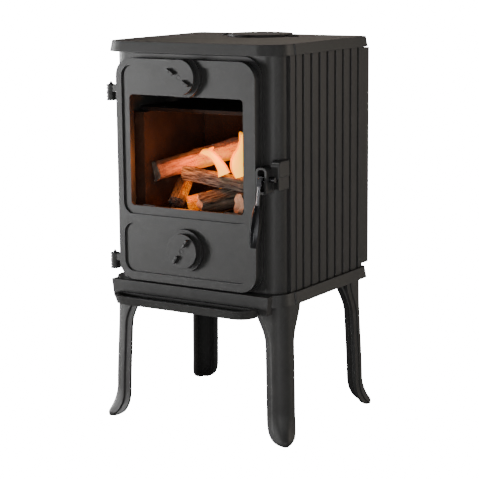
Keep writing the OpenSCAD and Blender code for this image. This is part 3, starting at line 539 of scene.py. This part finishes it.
bmesh.ops.recalc_face_normals(bm, faces=bm.faces)
soften(bm, 0.0007, angle=50)
finish_piece(bm, "latch_housing_arch", castings_paint, "door", ["latch_housing"], 35)
# Ground and polished steel: bright, with fine marks that break up its highlights.
lever_steel = turned_steel("polished_steel", "#77777a", 0.24)
casting("handle_lever", lever_steel, 0.0007)
# Black nickel over the polished grip: a dark mirror, a little smeared by hands.
smear_size = 0.02
grip, tree, shader = new_material("black_nickel")
place = add(tree, "TexCoord").outputs["Object"]
smear = add(tree, "TexNoise", values={"Scale": 1 / smear_size, "Detail": 3.0},
            links={"Vector": place})
dull = add(tree, "MapRange", values={"To Min": 0.1, "To Max": 0.26},
           links={"Value": smear.outputs["Fac"]})
tree.links.new(dull.outputs["Result"], shader.inputs["Roughness"])
tone = add(tree, "ValToRGB", links={"Fac": smear.outputs["Fac"]})
ends = tone.color_ramp.elements
ends[0].color, ends[1].color = linear("#1c1c1e"), linear("#2b2b2d")
tree.links.new(tone.outputs["Color"], shader.inputs["Base Color"])
shader.inputs["Metallic"].default_value = 0.6
# The grip is turned, then ground to eight flats that swell in the middle and end in a flat cut.
low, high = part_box("handle_grip")
lean = math.radians(12.0)
grip_long, grip_wide, grip_flats, grip_cuts, rod_long = 0.077, 0.0112, 8, 14, 0.050
rod_ahead, rod_above = 0.014, 0.004
pivot_low, pivot_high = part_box("handle_pivot")
top_of_line = Vector(((low[0] + high[0]) / 2,
                      (pivot_low[1] + pivot_high[1]) / 2 - rod_ahead,
                      (pivot_low[2] + pivot_high[2]) / 2 + rod_above))
bm = bmesh.new()
bmesh.ops.create_cone(bm, cap_ends=True, cap_tris=False, segments=grip_flats, radius1=1, radius2=1,
                      depth=1)
for cut in range(1, grip_cuts):
    bmesh.ops.bisect_plane(bm, geom=bm.verts[:] + bm.edges[:] + bm.faces[:], dist=0.0001,
                           plane_co=(0, 0, cut / grip_cuts - 0.5), plane_no=(0, 0, 1))
for vert in bm.verts:
    share = vert.co.z + 0.5
    swell = grip_wide * (0.62 + 0.36 * math.sin(math.pi * share ** 0.85))
    spot = Vector((vert.co.x * swell * 0.9, vert.co.y * swell, share * grip_long))
    vert.co = Matrix.Rotation(math.pi / grip_flats, 3, "Z") @ spot
ridges = [e for e in bm.edges if e.calc_face_angle(0) > 0.5]
bmesh.ops.bevel(bm, geom=ridges, offset=0.0006, offset_type="OFFSET", affect="EDGES",
                segments=2, profile=0.5, material=-1, clamp_overlap=True)
down_rod = Matrix.Translation((0, 0, -rod_long - grip_long))
on_line = Matrix.Translation(top_of_line) @ Matrix.Rotation(-lean, 4, "X") @ down_rod
bmesh.ops.transform(bm, matrix=on_line, verts=bm.verts)
finish_piece(bm, "handle_grip_flats", grip, "handle", ["handle_grip"], 18)

# ---------------------------------------------------------------- logs
# Split and round logs, burning from the middle: bark above, charred and glowing sides with
# cracks, and pale sawn ends. Each is a rough cylinder or wedge with its own knots.
log_lift = 0.006
fire_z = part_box("grate_shelf")[1][2] + log_lift
log_sides, cut_spacing, fewest_cuts, ring_steps = 40, 0.004, 18, (0.12, 0.3, 0.3)
lump_rate, rib_rate, rib_run_rate, chew_rate, chew_deep = 45, 260, 30, 90, 0.004
fibre_size, patch_size, crack_size = 0.003, 0.016, 0.0062


def wood_finish(name, pale, dark, bark, heat, crackle=0.25):
    """Burning wood: fibres along the log, bark, char and glow by how far the fire has come."""
    material, tree, shader = new_material(name)
    local = add(tree, "Attribute", props={"attribute_name": "along_log"})
    state = add(tree, "Attribute", props={"attribute_name": "burnt"})
    parts = add(tree, "SeparateXYZ", links={"Vector": state.outputs["Vector"]})
    stretched = add(tree, "VectorMath", props={"operation": "MULTIPLY"},
                    links={0: local.outputs["Vector"]})
    stretched.inputs[1].default_value = (1.0, 1.0, 0.12)
    fibre = add(tree, "TexNoise",
                values={"Scale": 1 / fibre_size, "Detail": 5.0, "Roughness": 0.6},
                links={"Vector": stretched.outputs["Vector"]})
    patch = add(tree, "TexNoise", values={"Scale": 1 / patch_size, "Detail": 4.0},
                links={"Vector": local.outputs["Vector"]})
    plates = add(tree, "TexVoronoi", props={"feature": "DISTANCE_TO_EDGE"},
                 values={"Scale": 1 / crack_size, "Randomness": 0.9},
                 links={"Vector": local.outputs["Vector"]})
    wood = add(tree, "ValToRGB", links={"Fac": fibre.outputs["Fac"]})
    ends = wood.color_ramp.elements
    ends[0].position, ends[1].position = 0.34, 0.62
    ends[0].color, ends[1].color = linear(dark), linear(pale)
    rind = add(tree, "ValToRGB", links={"Fac": fibre.outputs["Fac"]})
    ends = rind.color_ramp.elements
    ends[0].position, ends[1].position = 0.4, 0.66
    ends[0].color, ends[1].color = linear("#1c1613"), linear(bark)
    skin = add(tree, "MixRGB",
               links={"Fac": parts.outputs["X"], "Color1": wood.outputs["Color"],
                      "Color2": rind.outputs["Color"]})
    rough_edge = add(tree, "Math", props={"operation": "MULTIPLY_ADD"}, values={1: 1.6, 2: -0.8},
                     links={0: patch.outputs["Fac"]})
    char = add(tree, "Math", props={"operation": "ADD", "use_clamp": True},
               links={0: parts.outputs["Y"], 1: rough_edge.outputs[0]})
    char_share = add(tree, "Math", props={"operation": "MULTIPLY", "use_clamp": True},
                     links={0: char.outputs[0], 1: parts.outputs["Y"]})
    burnt = add(tree, "MixRGB",
                links={"Fac": char_share.outputs[0], "Color1": skin.outputs["Color"]})
    burnt.inputs["Color2"].default_value = linear("#120d0b")
    tree.links.new(burnt.outputs["Color"], shader.inputs["Base Color"])
    crack = add(tree, "MapRange",
                values={"From Min": 0.0, "From Max": 0.12, "To Min": crackle, "To Max": 1.0},
                links={"Value": plates.outputs["Distance"]})
    flicker = add(tree, "MapRange",
                  values={"From Min": 0.3, "From Max": 0.7, "To Min": 0.55, "To Max": 1.25},
                  links={"Value": fibre.outputs["Fac"]})
    glow = add(tree, "Math", props={"operation": "MULTIPLY"},
               links={0: crack.outputs["Result"], 1: flicker.outputs["Result"]})
    heated = add(tree, "Math", props={"operation": "MULTIPLY"},
                 links={0: glow.outputs[0], 1: parts.outputs["Z"]})
    colour = add(tree, "ValToRGB", links={"Fac": heated.outputs[0]})
    ramp = colour.color_ramp
    ramp.elements[0].color, ramp.elements[1].color = linear("#000000"), linear("#ffa200")
    for position, code in ((0.12, "#3a0c00"), (0.4, "#c04800"), (0.7, "#f47c00")):
        ramp.elements.new(position).color = linear(code)
    tree.links.new(colour.outputs["Color"], shader.inputs["Emission Color"])
    shader.inputs["Emission Strength"].default_value = heat
    height = add(tree, "Math", props={"operation": "ADD"},
                 links={0: fibre.outputs["Fac"], 1: plates.outputs["Distance"]})
    bumps = add(tree, "Bump", values={"Strength": 0.8, "Distance": 0.0016},
                links={"Height": height.outputs[0]})
    tree.links.new(bumps.outputs["Normal"], shader.inputs["Normal"])
    shader.inputs["Roughness"].default_value = 0.9
    return material


def end_grain(name, pale, ring):
    """A sawn end: growth rings round the heart, mottled by smoke and handling."""
    ring_size, mottle_size = 0.011, 0.008
    material, tree, shader = new_material(name)
    local = add(tree, "Attribute", props={"attribute_name": "along_log"})
    flat = add(tree, "VectorMath", props={"operation": "MULTIPLY"},
               links={0: local.outputs["Vector"]})
    flat.inputs[1].default_value = (1.0, 1.0, 0.0)
    rings = add(tree, "TexWave", props={"wave_type": "RINGS", "rings_direction": "Z"},
                values={"Scale": 1 / ring_size, "Distortion": 2.0, "Detail": 3.0},
                links={"Vector": flat.outputs["Vector"]})
    mottle = add(tree, "TexNoise", values={"Scale": 1 / mottle_size, "Detail": 5.0},
                 links={"Vector": local.outputs["Vector"]})
    mixed = add(tree, "Math", props={"operation": "MULTIPLY_ADD"}, values={1: 0.35},
                links={0: rings.outputs["Fac"], 2: mottle.outputs["Fac"]})
    tone = add(tree, "ValToRGB", links={"Fac": mixed.outputs[0]})
    ends = tone.color_ramp.elements
    ends[0].position, ends[1].position = 0.38, 0.85
    ends[0].color, ends[1].color = linear(ring), linear(pale)
    tree.links.new(tone.outputs["Color"], shader.inputs["Base Color"])
    bumps = add(tree, "Bump", values={"Strength": 0.5, "Distance": 0.0006},
                links={"Height": mixed.outputs[0]})
    tree.links.new(bumps.outputs["Normal"], shader.inputs["Normal"])
    shader.inputs["Roughness"].default_value = 0.9
    return material


def log(node, start, end, radius, shape, knots, wood, sawn, burnt, slant=0.0):
    """A log from start to end (mm). shape gives its radius by angle, burnt the shares of bark,
    char and heat by angle and place; knots picks its bumps, slant tilts its first end."""
    start, end = (Vector(v) / 1000 + Vector((0, 0, fire_z)) for v in (start, end))
    axis = (end - start).normalized()
    long = (end - start).length
    side = Vector((0, 0, 1)).cross(axis).normalized()
    stand = Matrix((side, axis.cross(side), axis)).transposed()
    bm = bmesh.new()
    bmesh.ops.create_cone(bm, cap_ends=True, cap_tris=False, segments=log_sides, radius1=1,
                          radius2=1, depth=1)
    cuts = max(fewest_cuts, int(long / cut_spacing))
    for cut in range(1, cuts):
        bmesh.ops.bisect_plane(bm, geom=bm.verts[:] + bm.edges[:] + bm.faces[:], dist=0.00001,
                               plane_co=(0, 0, cut / cuts - 0.5), plane_no=(0, 0, 1))
    ends = [f for f in bm.faces if abs(f.normal.z) > 0.9]
    for face in ends:
        face.material_index = 1
    for amount in ring_steps:
        bmesh.ops.inset_region(bm, faces=ends, thickness=amount, use_even_offset=True, depth=0.0)
    along = bm.verts.layers.float_vector.new("along_log")
    fire = bm.verts.layers.float_vector.new("burnt")
    seed = Vector((knots, knots * 0.7, knots * 1.3))
    for vert in bm.verts:
        angle = math.degrees(math.atan2(vert.co.y, vert.co.x))
        share = vert.co.z + 0.5
        wide = radius / 1000 * shape(angle)
        spot = Vector((vert.co.x * wide, vert.co.y * wide, share * long))
        coarse = noise.fractal(spot * lump_rate + seed, 1.0, 2.0, 3)
        drawn = Vector((spot.x * rib_rate, spot.y * rib_rate, spot.z * rib_run_rate))
        ribs = noise.fractal(drawn + seed, 1.0, 2.0, 3)
        bark_share, char_share, heat = burnt(angle, share)
        swell = 1 + 0.07 * coarse + (0.03 + 0.05 * bark_share) * ribs
        at_end = share < 0.001 or share > 0.999
        chew = chew_deep * noise.fractal(spot * chew_rate + seed, 1.0, 2.0, 3) if at_end else 0.0
        lean_back = slant * spot.x * (1 - share) ** 6
        place = Vector((spot.x * swell, spot.y * swell, spot.z + chew - lean_back))
        vert[along] = spot + seed * 0.1
        vert[fire] = (bark_share, char_share, heat)
        vert.co = start + stand @ place
    bmesh.ops.recalc_face_normals(bm, faces=bm.faces)
    finish_piece(bm, node + "_wood", [wood, sawn], "stove", [node], 50)


def squared(angle, turn, square=0.85):
    """Radius of a log split on four sides, from round (0) to square (1)."""
    a = math.radians(angle - turn)
    return (1 - square) + square * min(1.22, 0.93 / max(abs(math.cos(a)), abs(math.sin(a))))


# Fresh split wood is tan and catches fire; bark is grey; char is black; coal glows orange.
tan_wood = wood_finish("split_wood_flaming", "#c98e6c", "#8f5a3e", "#4e433b", 0.95)
grey_end = end_grain("sawn_end_smoked", "#b4a898", "#776c60")
pale_end = end_grain("sawn_end_pale", "#cdab90", "#9a7458")
bark_wood = wood_finish("barked_wood", "#8a7868", "#5a4a3e", "#94877a", 0.9)
coal_wood = wood_finish("charred_wood", "#4a4039", "#241c18", "#6a625a", 0.8)
grey_wood = wood_finish("split_wood_smoked", "#b39c88", "#75604f", "#92826f", 0.8)
glow_wood = wood_finish("glowing_wood", "#c06a34", "#6a2c12", "#3a2a20", 0.9)


def rear_log_burnt(a, t):
    """Bark on top, char above and below the middle, and glow on the front from the middle on."""
    bark = ease(35, 60, a) * (1 - ease(140, 160, a))
    char = 0.55 * ease(0.5, 0.7, t) * ease(40, 90, abs(a)) * (1 - ease(150, 175, abs(a)))
    top = ease(30, 60, a) * (1 - ease(140, 165, a))
    return bark, char, ease(0.30, 0.45, t) * (1.0 - 0.25 * ease(0.6, 0.8, t)) * (1 - 0.8 * top)


# The rear log lies high at the back, from the left over to the right. Its front face is flat.
log("log_rear", (-147, -74, 67), (98, -40, 143), 18.5, lambda a: squared(a, -100), 2.0,
    tan_wood, grey_end, rear_log_burnt, slant=1.15)
log("log_bark", (-66, -86, 72), (76, -84, 57), 14,
    lambda a: 1 + 0.06 * math.cos(math.radians(3 * a)), 5.0,
    bark_wood, grey_end,
    lambda a, t: (1.0, 0.15 + 0.35 * ease(0.3, 0.8, t),
                  0.9 * ease(0.3, 0.55, t) * ease(45, 80, a) * (1 - ease(125, 150, a))))
log("log_leaning", (-70, -112, 16), (-93, -45, 48), 15,
    lambda a: 1 + 0.05 * math.cos(math.radians(2 * a)), 9.0,
    coal_wood, coal_wood,
    lambda a, t: (1.0, 0.45,
                  0.85 * ease(95, 140, abs(a)) * ease(0.05, 0.3, t) * (1 - ease(0.7, 0.95, t))))
log("log_split", (-14, -113, 17), (48, -46, 36), 18, lambda a: squared(a, 35, 0.75), 13.0,
    grey_wood, pale_end,
    lambda a, t: (ease(-20, 30, a) * 0.85, 0.1 + 0.25 * ease(0.3, 0.8, t),
                  0.2 * ease(0.7, 0.9, t)))
log("log_round", (78, -120, 26), (126, -42, 24), 20.5, lambda a: 1.0, 17.0,
    bark_wood, pale_end,
    lambda a, t: (1.0, 0.3 * ease(0.2, 0.6, t), 0.3 * ease(0.5, 0.9, t)))
log("log_ember", (-56, -90, 12), (20, -20, 34), 14, lambda a: squared(a, 20, 0.6), 21.0,
    glow_wood, glow_wood, lambda a, t: (0.1, 0.2, 0.9))

# ---------------------------------------------------------------- flames
# Two tongues of flame, and a small one between them, in front of the rear log. Each large one
# is an orange veil round a yellow core.
lick_size, tongue_sides, tongue_cuts = 0.012, 18, 36


def flame_glow(name, low, high, strength, clear):
    """Burning gas: its colour changes up the tongue."""
    material, tree, shader = new_material(name)
    rise = add(tree, "Attribute", props={"attribute_name": "rise"})
    tone = add(tree, "ValToRGB", links={"Fac": rise.outputs["Fac"]})
    ends = tone.color_ramp.elements
    ends[0].color, ends[1].color = linear(low), linear(high)
    place = add(tree, "TexCoord").outputs["Object"]
    lick = add(tree, "TexNoise", values={"Scale": 1 / lick_size, "Detail": 3.0},
               links={"Vector": place})
    tree.links.new(tone.outputs["Color"], shader.inputs["Emission Color"])
    shader.inputs["Base Color"].default_value = linear("#ff8a20")
    shader.inputs["Emission Strength"].default_value = strength
    thin = add(tree, "MapRange",
               values={"From Min": 0.3, "From Max": 0.7, "To Min": clear * 0.7, "To Max": clear},
               links={"Value": lick.outputs["Fac"]})
    tree.links.new(thin.outputs["Result"], shader.inputs["Alpha"])
    shader.inputs["Roughness"].default_value = 1.0
    return material


veil_gas = flame_glow("flame_veil", "#ff9c00", "#ffc400", 0.85, 0.9)
core_gas = flame_glow("flame_core", "#fff060", "#ffe020", 1.5, 1.0)


def tongue(name, line, widths, thick, material):
    """A closed tongue along a line of points (mm), flattened front to back."""
    points = [Vector(p) / 1000 for p in line]
    bm = bmesh.new()
    bmesh.ops.create_cone(bm, cap_ends=True, cap_tris=False, segments=tongue_sides, radius1=1,
                          radius2=1, depth=1)
    for cut in range(1, tongue_cuts):
        bmesh.ops.bisect_plane(bm, geom=bm.verts[:] + bm.edges[:] + bm.faces[:], dist=0.00001,
                               plane_co=(0, 0, cut / tongue_cuts - 0.5), plane_no=(0, 0, 1))
    rise = bm.verts.layers.float.new("rise")
    last = len(points) - 1
    for vert in bm.verts:
        share = vert.co.z + 0.5
        at = min(last - 1, int(share * last))
        part = share * last - at
        before, here, there, after = (points[max(0, min(last, at + k))] for k in (-1, 0, 1, 2))
        spot = 0.5 * ((2 * here) + (there - before) * part
                      + (2 * before - 5 * here + 4 * there - after) * part ** 2
                      + (3 * here - before - 3 * there + after) * part ** 3)
        bend = (there - here).lerp(after - there, part * 0.5) + (here - before) * 0.25
        run = bend.normalized()
        across = Vector((0, 1, 0)).cross(run).normalized()
        wide = (widths[at] * (1 - part) + widths[at + 1] * part) / 1000
        wave = 1 + 0.12 * noise.noise(spot * 70)
        vert[rise] = share
        deep = Vector((0, 1, 0)) * vert.co.y * thick / 1000 * min(1.0, wide * 180)
        vert.co = spot + across * vert.co.x * wide * wave + deep
    bmesh.ops.recalc_face_normals(bm, faces=bm.faces)
    finish_piece(bm, name, material, "stove")


curl = [(32, -99, 490), (27, -98, 502), (18, -98, 514), (9, -98, 523), (-2, -98, 529),
        (-13, -98, 530), (-22, -98, 527)]
tongue("flame_curl_veil", curl, (15, 12, 9.5, 8.5, 8, 6.5, 1.2), 5, veil_gas)
curl_core = [(x + 1, y - 3, z) for x, y, z in curl[:-1]] + [(-18, -101, 528)]
tongue("flame_curl_core", curl_core, (12.5, 9, 6.4, 5.6, 5.2, 3.6, 0.8), 4, core_gas)
horn = [(0, -98, 526), (-1, -98, 531), (2, -98, 536), (9, -98, 541)]
tongue("flame_horn_veil", horn, (8, 7, 4.5, 0.8), 4, veil_gas)
tall = [(66, -98, 488), (62, -98, 501), (61, -98, 514), (65, -98, 527), (71, -98, 541),
        (74, -98, 555), (72, -98, 566), (67, -98, 573)]
tongue("flame_tall_veil", tall, (11, 14, 15.5, 13.5, 10, 8.5, 6.5, 1.0), 6, veil_gas)
tall_core = [(x + 2.5, y - 3, z) for x, y, z in tall[:-1]] + [(70, -101, 568)]
tongue("flame_tall_core", tall_core, (9.5, 11, 12, 10, 7, 5.5, 3.6, 0.8), 5, core_gas)

# ---------------------------------------------------------------- fire light
# Warm light of the flames on the bricks and logs: four small lamps, two in front of the rear
# log and two low among the others.
fire_lights = (((-0.06, -0.118, 0.515), 0.34), ((0.03, -0.12, 0.535), 0.2),
               ((-0.05, -0.05, 0.452), 0.10), ((-0.05, -0.118, 0.455), 0.12))
for place, power in fire_lights:
    lamp = bpy.data.lights.new("fire_light", "POINT")
    lamp.energy = power
    lamp.color = linear("#ff8a34")[:3]
    lamp.shadow_soft_size = 0.02
    held = bpy.data.objects.new("fire_light", lamp)
    held.location = place
    bpy.context.scene.collection.objects.link(held)
